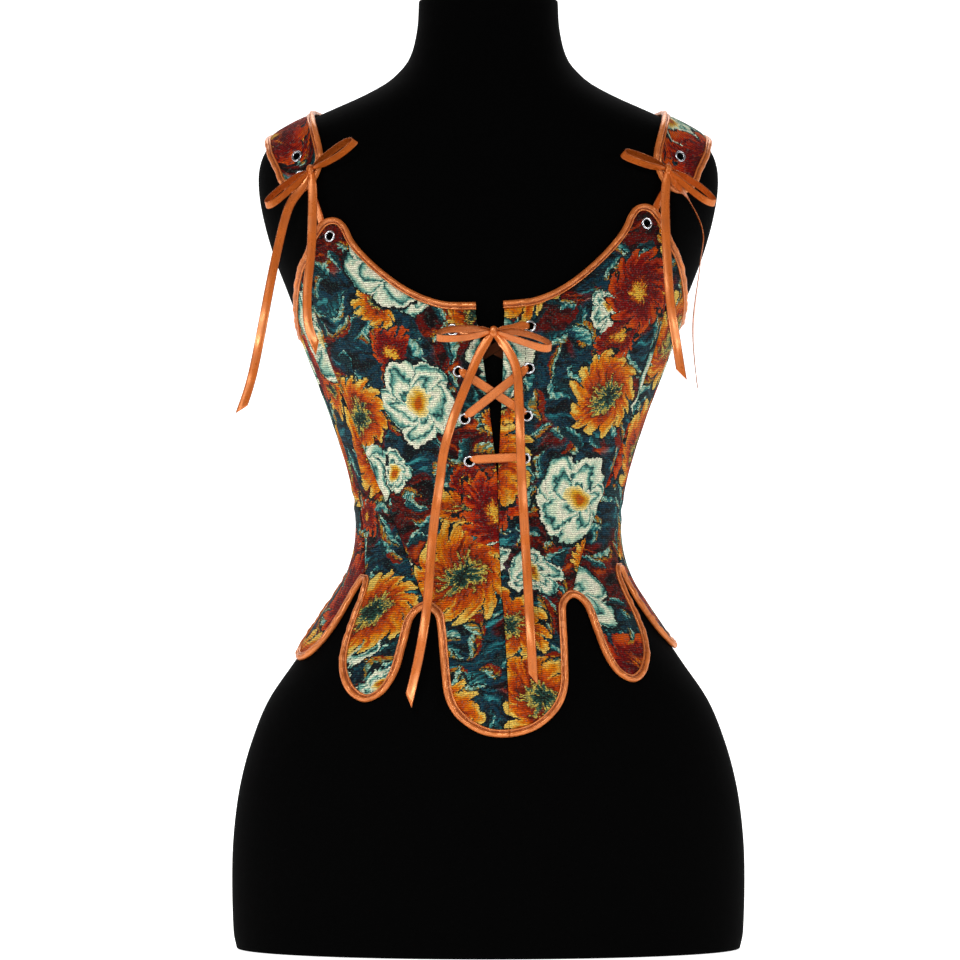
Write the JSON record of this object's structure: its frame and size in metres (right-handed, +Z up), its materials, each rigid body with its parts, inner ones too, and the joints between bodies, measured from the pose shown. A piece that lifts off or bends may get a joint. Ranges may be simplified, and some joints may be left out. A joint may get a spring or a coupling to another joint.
{
  "type": "corset vest on dress form",
  "caption": "Front-laced floral tapestry corset vest with satin-bound tabbed hem, shoulder straps and ribbon bows, worn on a matt black limbless dress form.",
  "frame": {"origin": "middle of the dress form's flat base, which the part stands on", "axes": "+Z up the form towards the neck, -Y out of the front of the vest, +X to the right as seen from the front"},
  "size_m": [0.369, 0.247, 0.682],
  "materials": {
    "black_jersey": "matt",
    "floral_tapestry": "jacquard woven",
    "orange_satin": "satin",
    "silver_metal": "polished"
  },
  "bodies": {
    "root": {"dress_form": "black_jersey", "front_left": "floral_tapestry", "side_front_left": "floral_tapestry", "side_left": "floral_tapestry", "side_back_left": "floral_tapestry", "back_left": "floral_tapestry", "strap_left": "floral_tapestry", "hem_binding_left": "orange_satin", "top_binding_left": "orange_satin", "strap_binding_left": "orange_satin", "lace_eyelet_1_left": "silver_metal", "lace_eyelet_2_left": "silver_metal", "lace_eyelet_3_left": "silver_metal", "lace_eyelet_4_left": "silver_metal", "tip_eyelet_left": "silver_metal", "strap_eyelet_1_left": "silver_metal", "strap_eyelet_2_left": "silver_metal", "lace_lead_left": "orange_satin", "front_loop_left": "orange_satin", "front_tail_left": "orange_satin", "shoulder_knot_left": "orange_satin", "shoulder_tie_left": "orange_satin", "shoulder_loop_inner_left": "orange_satin", "shoulder_loop_outer_left": "orange_satin", "shoulder_tail_inner_left": "orange_satin", "shoulder_tail_outer_left": "orange_satin", "front_right": "floral_tapestry", "side_front_right": "floral_tapestry", "side_right": "floral_tapestry", "side_back_right": "floral_tapestry", "back_right": "floral_tapestry", "strap_right": "floral_tapestry", "hem_binding_right": "orange_satin", "top_binding_right": "orange_satin", "strap_binding_right": "orange_satin", "lace_eyelet_1_right": "silver_metal", "lace_eyelet_2_right": "silver_metal", "lace_eyelet_3_right": "silver_metal", "lace_eyelet_4_right": "silver_metal", "tip_eyelet_right": "silver_metal", "strap_eyelet_1_right": "silver_metal", "strap_eyelet_2_right": "silver_metal", "lace_lead_right": "orange_satin", "front_loop_right": "orange_satin", "front_tail_right": "orange_satin", "shoulder_knot_right": "orange_satin", "shoulder_tie_right": "orange_satin", "shoulder_loop_inner_right": "orange_satin", "shoulder_loop_outer_right": "orange_satin", "shoulder_tail_inner_right": "orange_satin", "shoulder_tail_outer_right": "orange_satin", "lace_bar": "orange_satin", "lace_cross_under": "orange_satin", "lace_cross_over": "orange_satin", "front_knot": "orange_satin"}
  },
  "joints": []
}
